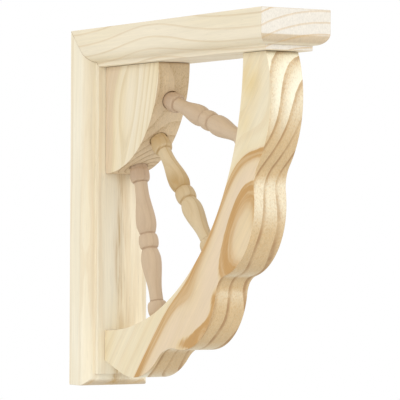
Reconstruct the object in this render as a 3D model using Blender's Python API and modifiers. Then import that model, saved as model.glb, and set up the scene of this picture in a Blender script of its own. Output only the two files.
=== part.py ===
"""Unfinished pine corbel bracket with three turned spindles.

Two moulded boards meet in a mitre at the wall's upper corner. A quarter-round block fills the
corner between them, a scalloped brace spans from the front of the top board to the foot of the
wall board, and three turned spindles radiate from the block to the brace.

The wall is the plane Y = 0 and the bracket stands out of it towards -Y. X runs across the bracket
and Z up. The origin is the centre of the wall board's back face.
"""
import math

import bmesh
import bpy
from mathutils import Matrix, Vector

COLLECTION = "wooden_corbel_bracket"

# Driving sizes of the boards, in metres
HEIGHT = 0.305
DEPTH = 0.312
BOARD_WIDTH = 0.064
BOARD_SIDE = 0.0185
OVOLO = 0.0092
QUIRK = 0.0009
STEP = 0.0043

# Corner block and brace, sawn from one thickness of stock
STOCK = 0.030
BLOCK_RADIUS = 0.0915
TOP_MARGIN = 0.0203
FOOT_MARGIN = 0.0217
TOP_FOOT = 0.0342
WALL_FOOT = 0.0258

# Scalloped outer edge of the brace, as shares of its reach from the inner corner: each lobe's
# centre distance, its angle below the top board in degrees, and its radius
LOBES = (
    (0.728, 11.0, 0.332),
    (0.866, 32.9, 0.226),
    (0.872, 54.5, 0.221),
    (0.809, 76.5, 0.245),
)
# Radii of the hollows between the lobes, on the same scale, and the slope of the last straight
HOLLOWS = (0.100, 0.068, 0.140)
TAIL_SLOPE = 18.0

# Spindles: where each leaves the block and meets the brace, in degrees below the top board
SPINDLES = {
    "spindle_upper": (20.2, 18.2),
    "spindle_middle": (44.1, 45.3),
    "spindle_lower": (69.8, 72.4),
}
BEAD_TO_BLOCK = 0.0080
BEAD_TO_BRACE = 0.0102
COLLAR_RADIUS = 0.0084
COLLAR_HALF = 0.0058
GROOVE_RADIUS = 0.0067
GROOVE_HALF = 0.0007
VASE_RADIUS = 0.0086
VASE_SHOULDER = 0.0090
VASE_TAPER = 2.4
NECK_RADIUS = 0.0056
NECK_LENGTH = 0.0050
NECK_FLARE = 0.0015
BEAD_RADIUS = 0.0082
BEAD_HALF = 0.0058
BEAD_ROOT = 0.0062
PIN_RADIUS = 0.0075
PIN_IN_BLOCK = 0.0120
PIN_IN_BRACE = 0.0100

# Clearance between pieces that touch
GAP = 0.0003

# How finely round shapes are divided
OVOLO_STEPS = 7
ARC_STEP = math.radians(3.0)
LOBE_STEP = math.radians(6.0)
HOLLOW_STEPS = 6
TURNED_STEPS = 24
HOLE_STEPS = 24
SHARP_ANGLE = math.radians(30.0)
MERGE_DISTANCE = 0.00005

# Where the turned outline has its points, as shares of each stretch from its widest place
COLLAR_SHARES = (0.0, 0.35, 0.65, 0.88)
SHOULDER_SHARES = (0.12, 0.35, 0.65, 1.0)
TAPER_SHARES = (0.14, 0.28, 0.42, 0.56, 0.72, 1.0)
BEAD_INNER_SHARES = (0.8, 0.45, 0.0)
BEAD_OUTER_SHARES = (0.5, 0.9)

# What follows from the driving sizes
THICKNESS = BOARD_SIDE + OVOLO + STEP
CORNER = Vector((THICKNESS, HEIGHT - THICKNESS))
TOP_REACH = DEPTH - THICKNESS - TOP_MARGIN
WALL_REACH = HEIGHT - THICKNESS - FOOT_MARGIN
INNER_TOP = TOP_REACH - TOP_FOOT
INNER_WALL = WALL_REACH - WALL_FOOT
HOLE_RADIUS = PIN_RADIUS + GAP
MITRE_SHIFT = GAP * math.sqrt(0.5)

# Names of the materials, their colours as linear RGB, and their roughness
PINE_WALL = ("pine_wall_board", (0.83, 0.68, 0.45), 0.62)
PINE_TOP = ("pine_top_board", (0.80, 0.65, 0.43), 0.62)
PINE_BLOCK = ("pine_corner_block", (0.76, 0.57, 0.33), 0.66)
PINE_BRACE = ("pine_brace", (0.80, 0.55, 0.29), 0.66)
TURNED_PINK = ("turned_pale_birch", (0.63, 0.42, 0.24), 0.58)
TURNED_TAN = ("turned_tan_pine", (0.62, 0.43, 0.20), 0.58)


def side_matrix():
    """Places an outline drawn as (distance from the wall, height from the foot) in a side view."""
    turn = Matrix(((0, 0, -1, 0), (-1, 0, 0, 0), (0, 1, 0, 0), (0, 0, 0, 1)))
    return Matrix.Translation((0, 0, -HEIGHT / 2)) @ turn


def side_point(point):
    """The place on the bracket's middle plane of a point of the side view."""
    return Vector((0, -point[0], point[1] - HEIGHT / 2))


def direction(degrees):
    """Unit direction in the side view, at an angle below the top board."""
    angle = math.radians(degrees)
    return Vector((math.cos(angle), -math.sin(angle)))


def arc(centre, radius, start, end, step=ARC_STEP):
    """Points along an arc, both ends included."""
    count = max(2, math.ceil(abs(end - start) / step))
    angles = [start + (end - start) * i / count for i in range(count + 1)]
    return [centre + radius * Vector((math.cos(a), math.sin(a))) for a in angles]


def bearing(origin, target):
    """Angle of the line from one point of the side view to another."""
    return math.atan2(target.y - origin.y, target.x - origin.x)


def new_collection(name):
    collection = bpy.data.collections.new(name)
    bpy.context.scene.collection.children.link(collection)
    return collection


def new_material(spec):
    name, colour, roughness = spec
    material = bpy.data.materials.new(name)
    material.use_nodes = True
    shader = material.node_tree.nodes["Principled BSDF"]
    shader.inputs["Base Color"].default_value = (*colour, 1)
    shader.inputs["Roughness"].default_value = roughness
    shader.inputs["Metallic"].default_value = 0
    return material


def shade_round(mesh):
    """Smooth shading across round stretches, with the true edges kept sharp."""
    mesh.shade_smooth()
    mesh.set_sharp_from_angle(angle=SHARP_ANGLE)


def flat_solid(name, outline, thickness, matrix, collection):
    """A flat outline given a thickness, as a closed mesh."""
    curve = bpy.data.curves.new(name + "_outline", "CURVE")
    curve.dimensions = "2D"
    curve.fill_mode = "BOTH"
    curve.extrude = thickness / 2
    spline = curve.splines.new("POLY")
    spline.points.add(len(outline) - 1)
    for point, place in zip(spline.points, outline):
        point.co = (place[0], place[1], 0, 1)
    spline.use_cyclic_u = True
    guide = bpy.data.objects.new(name + "_outline", curve)
    collection.objects.link(guide)
    guide.matrix_world = matrix
    bpy.context.view_layer.update()
    evaluated = guide.evaluated_get(bpy.context.evaluated_depsgraph_get())
    mesh = bpy.data.meshes.new_from_object(evaluated)
    mesh.name = name
    solid = bpy.data.objects.new(name, mesh)
    collection.objects.link(solid)
    solid.matrix_world = guide.matrix_world.copy()
    bpy.data.objects.remove(guide)
    shell = bmesh.new()
    shell.from_mesh(mesh)
    bmesh.ops.remove_doubles(shell, verts=shell.verts, dist=MERGE_DISTANCE)
    bmesh.ops.recalc_face_normals(shell, faces=shell.faces)
    shell.to_mesh(mesh)
    shell.free()
    shade_round(mesh)
    return solid


def moulding():
    """The boards' moulded edge as pairs of inset and depth, from the plain back to the face."""
    centre = Vector((OVOLO, BOARD_SIDE))
    quarter = arc(centre, OVOLO, math.pi, math.pi / 2, math.pi / 2 / OVOLO_STEPS)
    ledge = [Vector((OVOLO + QUIRK, BOARD_SIDE + OVOLO))]
    face = [Vector((OVOLO + QUIRK, THICKNESS))]
    return [Vector((0, 0))] + quarter + ledge + face


def bridge(shell, first, second):
    """Joins two rings of four corners with flat sides."""
    for i in range(len(first)):
        j = (i + 1) % len(first)
        shell.faces.new((first[i], first[j], second[j], second[i]))


def moulded_board(name, length, frame, spec, parts):
    """A board lofted through its section levels, from its plain back to its moulded face.

    Each level is a rectangle drawn in by the moulding at both edges and at the free end, and cut
    at the other end by the mitre. The frame holds the directions across, into the depth and along
    the board from its free end, and the place where the back starts.
    """
    half = BOARD_WIDTH / 2
    shell = bmesh.new()
    rings = []
    for inset, depth in moulding():
        mitred = length - depth - MITRE_SHIFT
        side = half - inset
        corners = ((-side, inset), (side, inset), (side, mitred), (-side, mitred))
        rings.append([shell.verts.new(frame @ Vector((x, depth, along))) for x, along in corners])
    shell.faces.new(rings[0])
    shell.faces.new(rings[-1])
    for first, second in zip(rings, rings[1:]):
        bridge(shell, first, second)
    bmesh.ops.recalc_face_normals(shell, faces=shell.faces)
    mesh = bpy.data.meshes.new(name)
    shell.to_mesh(mesh)
    shell.free()
    shade_round(mesh)
    board = bpy.data.objects.new(name, mesh)
    parts.objects.link(board)
    mesh.materials.append(new_material(spec))
    return board


def wall_board(parts):
    """The wall board stands on its moulded end and is mitred at the top."""
    frame = Matrix(((1, 0, 0, 0), (0, -1, 0, 0), (0, 0, 1, -HEIGHT / 2), (0, 0, 0, 1)))
    moulded_board("wall_board", HEIGHT, frame, PINE_WALL, parts)


def top_board(parts):
    """The top board points its moulded end at the room and is mitred at the wall."""
    frame = Matrix(((1, 0, 0, 0), (0, 0, 1, -DEPTH), (0, -1, 0, HEIGHT / 2), (0, 0, 0, 1)))
    moulded_board("top_board", DEPTH, frame, PINE_TOP, parts)


def corner_block(parts):
    """The quarter-round block in the inner corner."""
    start = math.asin(GAP / BLOCK_RADIUS)
    curve = arc(CORNER, BLOCK_RADIUS, -start, start - math.pi / 2)
    inner = CORNER + Vector((GAP, -GAP))
    block = flat_solid("corner_block", curve + [inner], STOCK, side_matrix(), parts)
    block.data.materials.append(new_material(PINE_BLOCK))
    return block


def hollow_centre(first, second, radius):
    """Centre of the hollow of a given radius that touches two neighbouring lobes from outside."""
    (centre_a, radius_a), (centre_b, radius_b) = first, second
    reach_a = radius_a + radius
    reach_b = radius_b + radius
    across = centre_b - centre_a
    apart = across.length
    along = (reach_a ** 2 - reach_b ** 2 + apart ** 2) / (2 * apart)
    out = math.sqrt(max(reach_a ** 2 - along ** 2, 0))
    unit = across / apart
    return centre_a + unit * along + Vector((-unit.y, unit.x)) * out


def scallops():
    """The outer edge about the inner corner, on a scale where the brace's reach is about one.

    It runs from the top board round the lobes and hollows and down the straight to the wall board.
    """
    lobes = [(direction(angle) * distance, radius) for distance, angle, radius in LOBES]
    centres = [hollow_centre(lobes[i], lobes[i + 1], HOLLOWS[i]) for i in range(len(HOLLOWS))]
    points = []
    start = math.asin(-lobes[0][0].y / lobes[0][1])
    for i, (centre, radius) in enumerate(lobes):
        last = i == len(lobes) - 1
        end = -math.pi / 2 - math.radians(TAIL_SLOPE) if last else bearing(centre, centres[i])
        points += arc(centre, radius, start, end, LOBE_STEP)
        if last:
            break
        hollow = centres[i]
        first = bearing(hollow, centre) % (2 * math.pi)
        second = bearing(hollow, lobes[i + 1][0]) % (2 * math.pi)
        steps = abs(second - first) / HOLLOW_STEPS
        points += arc(hollow, HOLLOWS[i], first, second, steps)[1:-1]
        start = bearing(lobes[i + 1][0], hollow)
    lowest = points[-1]
    points.append(Vector((0, lowest.y + lowest.x * math.tan(math.radians(TAIL_SLOPE)))))
    return points


def outer_edge():
    """The scalloped edge at its real size, between its feet on the two boards."""
    points = scallops()
    across = TOP_REACH / points[0].x
    down = WALL_REACH / -points[-1].y
    edge = [Vector((p.x * across, p.y * down)) for p in points]
    edge[0].y = -GAP
    edge[-1].x = GAP
    return [CORNER + p for p in edge]


def inner_point(degrees):
    """Point of the brace's inner edge in a given direction from the inner corner."""
    unit = direction(degrees)
    reach = 1 / math.hypot(unit.x / INNER_TOP, unit.y / INNER_WALL)
    return CORNER + unit * reach


def inner_edge():
    """The inner edge from the wall board back up to the top board."""
    count = math.ceil(math.pi / 2 / ARC_STEP)
    points = [inner_point(90 * (1 - i / count)) for i in range(count + 1)]
    points[0].x = CORNER.x + GAP
    points[-1].y = CORNER.y - GAP
    return points


def scalloped_brace(parts):
    """The brace: smooth inner edge, scalloped outer edge, and a flat foot on each board."""
    outline = outer_edge() + inner_edge()
    brace = flat_solid("scalloped_brace", outline, STOCK, side_matrix(), parts)
    brace.data.materials.append(new_material(PINE_BRACE))
    return brace


def swell(share):
    """Falls smoothly from one at a vase's widest place to nothing at its neck."""
    return math.cos(math.pi / 2 * share) ** VASE_TAPER


def bulge(root, crest, share):
    """Radius of a half-round band at a share of the way from its crest to its root."""
    return root + (crest - root) * math.sqrt(1 - share ** 2)


def half_profile(bead_place):
    """Half of the turned shape, from the middle of the collar out to the bead.

    Pairs of distance from the middle and radius. The vase takes up what length is left between
    the groove beside the collar and the neck beside the bead.
    """
    rows = []
    for share in COLLAR_SHARES:
        rows.append((COLLAR_HALF * share, bulge(GROOVE_RADIUS, COLLAR_RADIUS, share)))
    rows.append((COLLAR_HALF, GROOVE_RADIUS))
    vase_start = COLLAR_HALF + 2 * GROOVE_HALF
    rows.append((vase_start, GROOVE_RADIUS))
    for share in SHOULDER_SHARES:
        radius = GROOVE_RADIUS + (VASE_RADIUS - GROOVE_RADIUS) * math.sin(math.pi / 2 * share)
        rows.append((vase_start + VASE_SHOULDER * share, radius))
    bead_start = bead_place - BEAD_HALF
    vase_end = bead_start - NECK_LENGTH
    widest = vase_start + VASE_SHOULDER
    for share in TAPER_SHARES:
        radius = NECK_RADIUS + (VASE_RADIUS - NECK_RADIUS) * swell(share)
        rows.append((widest + (vase_end - widest) * share, radius))
    rows.append((bead_start - NECK_FLARE, NECK_RADIUS))
    rows.append((bead_start, BEAD_ROOT))
    for share in BEAD_INNER_SHARES:
        rows.append((bead_place - BEAD_HALF * share, bulge(BEAD_ROOT, BEAD_RADIUS, share)))
    for share in BEAD_OUTER_SHARES:
        rows.append((bead_place + BEAD_HALF * share, bulge(PIN_RADIUS, BEAD_RADIUS, share)))
    rows.append((bead_place + BEAD_HALF, PIN_RADIUS))
    return rows


def spindle_ends(angles):
    """Where a spindle's axis leaves the block and where it meets the brace."""
    block_end = CORNER + direction(angles[0]) * BLOCK_RADIUS
    brace_end = inner_point(angles[1])
    return side_point(block_end), side_point(brace_end)


def axis_matrix(top, foot):
    """Stands a Z axis on a point so that it runs up to another."""
    turn = (top - foot).to_track_quat("Z", "Y").to_matrix().to_4x4()
    return Matrix.Translation(foot) @ turn


def spindle_profile(length):
    """The whole turned outline as pairs of radius and height above the brace, top to bottom."""
    half = (length - BEAD_TO_BLOCK - BEAD_TO_BRACE) / 2
    middle = BEAD_TO_BRACE + half
    rows = half_profile(half)
    top = [(0, length + PIN_IN_BLOCK), (PIN_RADIUS, length + PIN_IN_BLOCK)]
    upper = [(radius, middle + place) for place, radius in reversed(rows)]
    lower = [(radius, middle - place) for place, radius in rows[1:]]
    foot = [(PIN_RADIUS, -PIN_IN_BRACE), (0, -PIN_IN_BRACE)]
    return top + upper + lower + foot


def turned_spindle(name, angles, spec, parts):
    """One spindle, turned about the line from the brace to the block."""
    top, foot = spindle_ends(angles)
    profile = spindle_profile((top - foot).length)
    mesh = bpy.data.meshes.new(name)
    outline = bmesh.new()
    dots = [outline.verts.new((radius, 0, height)) for radius, height in profile]
    for first, second in zip(dots, dots[1:]):
        outline.edges.new((first, second))
    outline.to_mesh(mesh)
    outline.free()
    spindle = bpy.data.objects.new(name, mesh)
    parts.objects.link(spindle)
    spindle.matrix_world = axis_matrix(top, foot)
    screw = spindle.modifiers.new("turned", "SCREW")
    screw.axis = "Z"
    screw.angle = 2 * math.pi
    screw.steps = TURNED_STEPS
    screw.render_steps = TURNED_STEPS
    screw.use_merge_vertices = True
    screw.merge_threshold = MERGE_DISTANCE
    screw.use_smooth_shade = True
    mesh.materials.append(new_material(spec))
    return spindle


def drill(target, name, mouth, inward, depth, cutters):
    """A round hole from just outside the mouth to its full depth along the spindle's axis."""
    overshoot = 2 * HOLE_RADIUS
    mesh = bpy.data.meshes.new(name)
    bit = bmesh.new()
    bmesh.ops.create_cone(
        bit, cap_ends=True, segments=HOLE_STEPS, radius1=HOLE_RADIUS, radius2=HOLE_RADIUS,
        depth=depth + overshoot)
    bit.to_mesh(mesh)
    bit.free()
    cutter = bpy.data.objects.new(name, mesh)
    cutters.objects.link(cutter)
    centre = mouth + inward * (depth - overshoot) / 2
    turn = inward.to_track_quat("Z", "Y").to_matrix().to_4x4()
    cutter.matrix_world = Matrix.Translation(centre) @ turn
    cutter.hide_render = True
    cutter.display_type = "WIRE"
    bore = target.modifiers.new(name, "BOOLEAN")
    bore.object = cutter
    bore.operation = "DIFFERENCE"
    bore.solver = "EXACT"


def main():
    for old in list(bpy.data.objects):
        bpy.data.objects.remove(old)
    parts = new_collection(COLLECTION)
    cutters = new_collection("cutters")
    wall_board(parts)
    top_board(parts)
    block = corner_block(parts)
    brace = scalloped_brace(parts)
    woods = {"spindle_middle": TURNED_TAN}
    for name, angles in SPINDLES.items():
        turned_spindle(name, angles, woods.get(name, TURNED_PINK), parts)
        top, foot = spindle_ends(angles)
        upward = (top - foot).normalized()
        drill(block, name + "_block_hole", top, upward, PIN_IN_BLOCK + GAP, cutters)
        drill(brace, name + "_brace_hole", foot, -upward, PIN_IN_BRACE + GAP, cutters)
    bpy.context.view_layer.update()


main()
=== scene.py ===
"""Looks of an unfinished pine corbel bracket: moulded boards, corner block, brace and spindles.

The wall is the plane Y = 0 and the bracket stands out of it towards -Y. X runs across the bracket
and Z up. Side views give a place as (distance from the wall, height above the foot), in metres.
"""

import math
from typing import NamedTuple

import bmesh
import bpy
from bpy.props import FloatProperty, FloatVectorProperty, IntProperty, PointerProperty
from mathutils import Matrix, Quaternion, Vector


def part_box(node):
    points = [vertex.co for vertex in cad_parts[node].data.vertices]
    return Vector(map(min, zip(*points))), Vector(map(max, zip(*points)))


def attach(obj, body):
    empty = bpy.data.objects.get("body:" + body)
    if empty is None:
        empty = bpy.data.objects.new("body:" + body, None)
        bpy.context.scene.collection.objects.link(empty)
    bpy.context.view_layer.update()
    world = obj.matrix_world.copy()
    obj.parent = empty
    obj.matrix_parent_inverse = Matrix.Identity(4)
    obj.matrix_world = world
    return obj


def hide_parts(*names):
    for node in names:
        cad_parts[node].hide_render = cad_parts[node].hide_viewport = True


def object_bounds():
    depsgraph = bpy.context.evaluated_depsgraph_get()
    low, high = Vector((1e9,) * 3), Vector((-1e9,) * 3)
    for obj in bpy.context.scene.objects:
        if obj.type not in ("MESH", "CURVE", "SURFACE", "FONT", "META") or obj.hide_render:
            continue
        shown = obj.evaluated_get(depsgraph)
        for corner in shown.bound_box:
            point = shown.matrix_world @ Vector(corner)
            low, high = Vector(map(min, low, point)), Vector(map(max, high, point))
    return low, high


bl_info = {
    "name": "Wooden Corbel Bracket",
    "version": (1, 0, 0),
    "blender": (4, 5, 0),
    "location": "3D View > Sidebar > Corbel",
    "description": "Moulded boards, corner block, scalloped brace and turned spindles in bare pine",
    "category": "Add Mesh",
}

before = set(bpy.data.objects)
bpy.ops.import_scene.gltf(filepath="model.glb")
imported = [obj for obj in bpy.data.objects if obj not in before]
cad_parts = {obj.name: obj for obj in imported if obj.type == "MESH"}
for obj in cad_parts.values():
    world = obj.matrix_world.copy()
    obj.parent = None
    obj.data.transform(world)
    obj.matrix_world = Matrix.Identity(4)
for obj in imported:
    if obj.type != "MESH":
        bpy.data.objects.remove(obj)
CAD_LOW, CAD_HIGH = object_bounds()
BODY = "root"
WALL_LOW, WALL_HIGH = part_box("wall_board")
TOP_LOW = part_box("top_board")[0]
BLOCK_LOW, BLOCK_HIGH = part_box("corner_block")


def length(name, description, default):
    """A length that the user can change."""
    return FloatProperty(name=name, description=description, default=default, min=0.0,
                         unit="LENGTH", subtype="DISTANCE", precision=5)


def share(name, description, default):
    """A plain share, without a unit."""
    return FloatProperty(name=name, description=description, default=default, precision=3)


def angle(name, description, degrees):
    """An angle that the user can change."""
    return FloatProperty(name=name, description=description, default=math.radians(degrees),
                         unit="ROTATION", subtype="ANGLE")


def colour(name, description, default):
    """A colour as linear red, green and blue."""
    return FloatVectorProperty(name=name, description=description, default=default, size=3,
                               min=0.0, max=1.0, subtype="COLOR")


class BoardSizes(bpy.types.PropertyGroup):
    """Sizes of the two moulded boards."""

    height: length("Height", "Height of the wall board", WALL_HIGH.z - WALL_LOW.z)
    depth: length("Depth", "Length of the top board out from the wall", -TOP_LOW.y)
    width: length("Width", "Width of both boards", WALL_HIGH.x - WALL_LOW.x)
    thickness: length("Thickness", "Thickness of both boards", -WALL_LOW.y)
    ovolo: length("Ovolo", "Radius of the rounded edge", 0.0092)
    quirk: length("Quirk", "Flat ledge between the rounded edge and the raised face", 0.0009)
    step: length("Step", "Height of the raised face over the ledge", 0.0043)
    ovolo_steps: IntProperty(name="Ovolo Steps", description="Facets of the rounded edge",
                             default=14, min=3)


class SawnSizes(bpy.types.PropertyGroup):
    """Sizes of the corner block and the scalloped brace, sawn from one stock."""

    stock: length("Stock", "Thickness of the block and the brace", BLOCK_HIGH.x - BLOCK_LOW.x)
    block_radius: length("Block Radius", "Radius of the quarter-round block", 0.0915)
    top_margin: length("Top Margin", "Top board left clear in front of the brace", 0.0203)
    foot_margin: length("Foot Margin", "Wall board left clear below the brace", 0.0217)
    top_foot: length("Top Foot", "Width of the brace at the top board", 0.0342)
    wall_foot: length("Wall Foot", "Width of the brace at the wall board", 0.0258)
    tail_slope: angle("Tail Slope", "Slope of the straight at the foot", 18.0)
    gap: length("Gap", "Clearance between pieces that touch", 0.0003)
    ease: length("Ease", "Width of the sanded edges", 0.0005)
    rim: length("Rim", "Width of the broken rim of each drilled hole", 0.0004)
    arc_step: angle("Arc Step", "How finely round outlines are divided", 1.2)


class SpindleSizes(bpy.types.PropertyGroup):
    """Sizes of the turned outline that the three spindles share."""

    bead_to_block: length("Bead to Block", "Middle of the bead to the block", 0.0080)
    bead_to_brace: length("Bead to Brace", "Middle of the bead to the brace", 0.0102)
    collar_radius: length("Collar Radius", "Radius of the collar", 0.0084)
    collar_half: length("Collar Half", "Half the length of the collar", 0.0058)
    groove_radius: length("Groove Radius", "Radius in the grooves beside the collar", 0.0067)
    groove_half: length("Groove Half", "Half the width of a groove", 0.0007)
    vase_radius: length("Vase Radius", "Widest radius of each vase", 0.0086)
    vase_shoulder: length("Vase Shoulder", "Length of a vase's round shoulder", 0.0090)
    vase_taper: share("Vase Taper", "How quickly a vase falls off to its neck", 2.4)
    neck_radius: length("Neck Radius", "Thinnest radius beside the bead", 0.0056)
    neck_length: length("Neck Length", "Straight part beside the bead", 0.0050)
    bead_radius: length("Bead Radius", "Radius of the beads", 0.0084)
    bead_half: length("Bead Half", "Half the length of a bead", 0.0058)
    bead_root: length("Bead Root", "Radius where a bead meets the neck", 0.0060)
    bead_outer: length("Bead Outer", "Radius of a bead's outer side, at its hole", 0.0072)
    pin_radius: length("Pin Radius", "Radius of the plain end in its hole", 0.0075)
    pin_in_block: length("Pin in Block", "Depth of the plain end in the block", 0.0120)
    pin_in_brace: length("Pin in Brace", "Depth of the plain end in the brace", 0.0100)
    spacing: length("Spacing", "Distance between turned sections", 0.0003)
    score: length("Score", "Depth of the fine lines cut beside collar and beads", 0.0007)
    score_half: length("Score Half", "Half the width of those lines", 0.0007)
    sides: IntProperty(name="Sides", description="Facets round a spindle", default=56, min=8)


class WoodColours(bpy.types.PropertyGroup):
    """Colours of the bare wood."""

    board: colour("Board", "Pale wood of the boards", (0.88, 0.79, 0.61))
    wall: colour("Wall Board", "Paler wood of the wall board", (0.92, 0.85, 0.68))
    board_tint: colour("Board Tint", "Yellow clouds and routed edges", (0.83, 0.72, 0.49))
    board_line: colour("Board Line", "Darker grain lines of the boards", (0.62, 0.42, 0.20))
    board_cut: colour("Board Cut", "Routed end grain of the boards", (0.62, 0.49, 0.33))
    board_end: colour("Board End", "Whitish sawn end of the top board", (0.78, 0.73, 0.64))
    block_sap: colour("Block Sapwood", "Pinkish tan wood at the wall side", (0.75, 0.61, 0.45))
    block_heart: colour("Block Heart", "Cream wood of the block", (0.87, 0.78, 0.60))
    block_line: colour("Block Line", "Darker grain lines of the block", (0.46, 0.31, 0.13))
    block_cut: colour("Block Cut", "Sawn curve of the block", (0.73, 0.57, 0.37))
    brace_sap: colour("Brace Sapwood", "Cream wood of the brace", (0.86, 0.76, 0.55))
    brace_heart: colour("Brace Heart", "Pinkish wood of the brace", (0.80, 0.64, 0.45))
    brace_tint: colour("Brace Tint", "Tan clouds in the brace", (0.78, 0.60, 0.28))
    brace_band: colour("Brace Band", "Orange-brown bands of the brace", (0.57, 0.33, 0.12))
    brace_cut: colour("Brace Cut", "Golden sawn edge of the brace", (0.63, 0.46, 0.25))
    brace_end: colour("Brace End", "Pale fuzz where the edge crosses the grain", (0.90, 0.85, 0.67))
    birch: colour("Birch", "Pinkish tan of two spindles", (0.64, 0.49, 0.33))
    birch_line: colour("Birch Line", "Darker streaks of those spindles", (0.44, 0.29, 0.19))
    tan: colour("Tan", "Yellowish tan of the middle spindle", (0.70, 0.56, 0.35))
    tan_line: colour("Tan Line", "Orange-brown blotches of it", (0.46, 0.28, 0.09))
    resin: colour("Resin", "Brown streak in the wall board", (0.50, 0.30, 0.08))
    # Painted shade: darkens the block and brace just below the top board
    stain: colour("Stain", "Dark stain where a piece meets the top board", (0.28, 0.16, 0.07))


class StageSettings(bpy.types.PropertyGroup):
    """Camera, floor and light."""

    azimuth: angle("Azimuth", "Camera direction round the bracket", -30.494)
    elevation: angle("Elevation", "Camera height above the horizon", -0.8324)
    roll: angle("Roll", "Camera turned about its line of sight", 0.2575)
    distance: length("Distance", "Camera to the middle of the bracket", 2.32696)
    lens: share("Lens", "Focal length in millimetres", 256.1)
    target_out: length("Target Out", "Distance of the aimed point from the wall", 0.16643)
    target_up: FloatProperty(name="Target Up", description="Aimed point above the middle",
                             default=0.00529, unit="LENGTH", subtype="DISTANCE")
    floor_drop: length("Floor Drop", "Floor below the foot of the bracket", 0.35)
    key_power: share("Key Power", "Strength of the soft light in front", 0.8)
    fill_power: share("Fill Power", "Strength of the soft light from the left", 0.55)
    light_above: share("Light Above", "Strength of the surroundings above the horizon", 0.88)
    light_below: share("Light Below", "Strength of the surroundings below the horizon", 0.86)


class Stem(NamedTuple):
    """Where the tree's pith ran past a piece, and the stem's lean from upright towards the room."""

    pith: tuple
    lean: float


class Swell(NamedTuple):
    """A round swelling that lifts the rings: height above the pith, place along it, sizes."""

    across: float
    along: float
    radius: float
    lift: float


class Rings(NamedTuple):
    """How the rings of a piece are spaced and drawn, lengths in metres."""

    ring_width: float
    first_ring: float
    late_share: float
    wander: float
    swells: tuple = ()
    bold_within: float = 1.0
    faint: float = 1.0
    skew: float = 0.0
    golden_within: float = 0.0


class Wood(NamedTuple):
    """One bare wood finish: its colours, and how strongly each trait of it shows."""

    sap: tuple
    heart: tuple
    tint: tuple
    line: tuple
    cut: tuple
    pale: tuple
    side_contrast: float
    end_contrast: float
    clouds: float
    sawn: float = 0.0
    cut_end: float = 0.0
    square: tuple = (0.96, 0.99)
    roughness: float = 0.62
    season: float = 0.0
    routed: float = 0.0
    saw_line: tuple = (0.40, 0.25, 0.13)


class Streak(NamedTuple):
    """A wavering streak of resin along a face: its place across, sway and width."""

    across: float
    sway: float
    period: float
    phase: float
    width: float


# Outer edge of the brace about the inner corner, as shares of its reach: centre distance of each
# lobe, its angle below the top board in degrees, and its radius
LOBES = (
    (0.728, 11.0, 0.332),
    (0.866, 32.9, 0.226),
    (0.872, 54.5, 0.221),
    (0.809, 76.5, 0.245),
)
HOLLOWS = (0.100, 0.068, 0.140)

# Where each spindle leaves the block and meets the brace, in degrees below the top board
SPINDLES = {
    "spindle_upper": (20.2, 18.2),
    "spindle_middle": (44.1, 45.3),
    "spindle_lower": (69.8, 72.4),
}

# Edges that turn more than this are eased, and a finished piece may be this far from its solid
TRUE_EDGE = math.radians(35)
FIT = 0.0006

# Facets of a drill bit, the flare of a neck into its bead, and where past the middle of a bead its
# outer side drops into the hole
BIT_SIDES = 48
FLARE = 0.0015
SUNK_END = (0.0092, 0.0102)

# Relief of the bare wood's surface, in metres
FIBRE_RELIEF = 0.00004
SAW_RELIEF = 0.0003
RING_RELIEF = 0.00002

# How strongly each mark darkens or tints the wood; the joint, groove and bead values set painted
# shade
RESIN_STAIN = 0.38
RESIN_SPLITS = 0.50
CUT_TINT = 0.9
CUT_LINE = 0.8
FLECK_SHADE = 0.07
FUZZ_SHADE = 0.35
JOINT_SHADE = 0.6
GROOVE_SHADE = 0.38
BEAD_SHADE = 0.40

# Reach of the painted shade below the top board on a smooth face, and how much further it reaches
# on a sawn face under the board's overhang
JOINT_SHADE_REACH = (0.0006, 0.0022)

SAME_PLACE = 1e-6
FLOOR_HALF = 30.0
VECTOR = "NodeSocketVector"


def titled(sizes):
    """Sizes under the names of their sockets, such as Ring Width for ring_width."""
    return {key.replace("_", " ").title(): size for key, size in sizes.items()}


def sign(operation, backwards=False):
    """A sign between values, which adds a Math node."""
    def added(first, second):
        pair = (second, first) if backwards else (first, second)
        return first.graph.math(operation, *pair)
    return added


class Value:
    """A socket in a formula, where each sign adds a Math node."""

    def __init__(self, graph, socket):
        self.graph = graph
        self.socket = socket

    __add__ = sign("ADD")
    __sub__ = sign("SUBTRACT")
    __rsub__ = sign("SUBTRACT", backwards=True)
    __mul__ = sign("MULTIPLY")
    __truediv__ = sign("DIVIDE")
    __pow__ = sign("POWER")


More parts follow.
